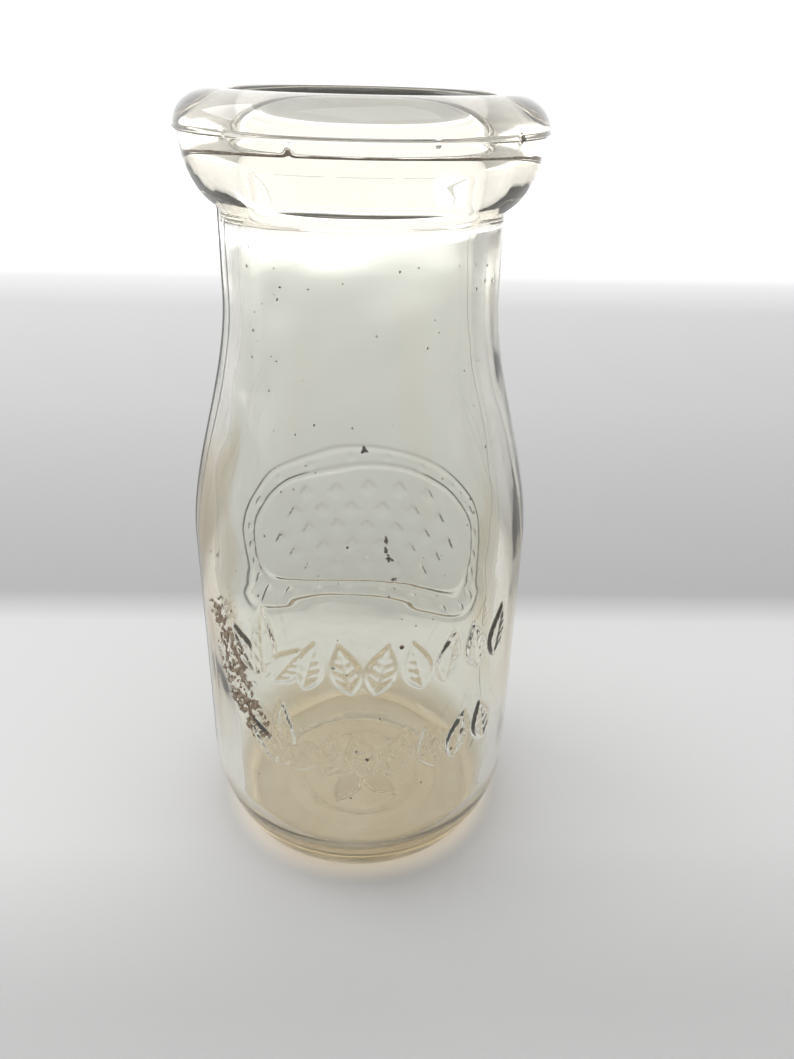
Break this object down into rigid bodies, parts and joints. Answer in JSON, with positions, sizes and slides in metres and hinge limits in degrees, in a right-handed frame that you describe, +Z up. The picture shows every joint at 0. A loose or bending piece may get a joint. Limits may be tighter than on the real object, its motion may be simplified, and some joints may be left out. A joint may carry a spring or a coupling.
{
  "type": "glass milk bottle",
  "caption": "Round clear glass milk bottle with a wide rounded lip, stepped cap seat, short neck, straight body and raised leaf bands.",
  "frame": {"origin": "centre of the resting ring, at the plane the bottle stands on", "axes": "+Z up along the bottle's axis towards the mouth, -Y towards the front with the two raised leaf bands, +X to the right seen from the front"},
  "size_m": [0.0624, 0.063, 0.139],
  "materials": {
    "glass": "clear pressed glass, fire-polished, faint straw tint in the thick base"
  },
  "bodies": {
    "root": {"glass_bottle": "glass"}
  },
  "joints": []
}
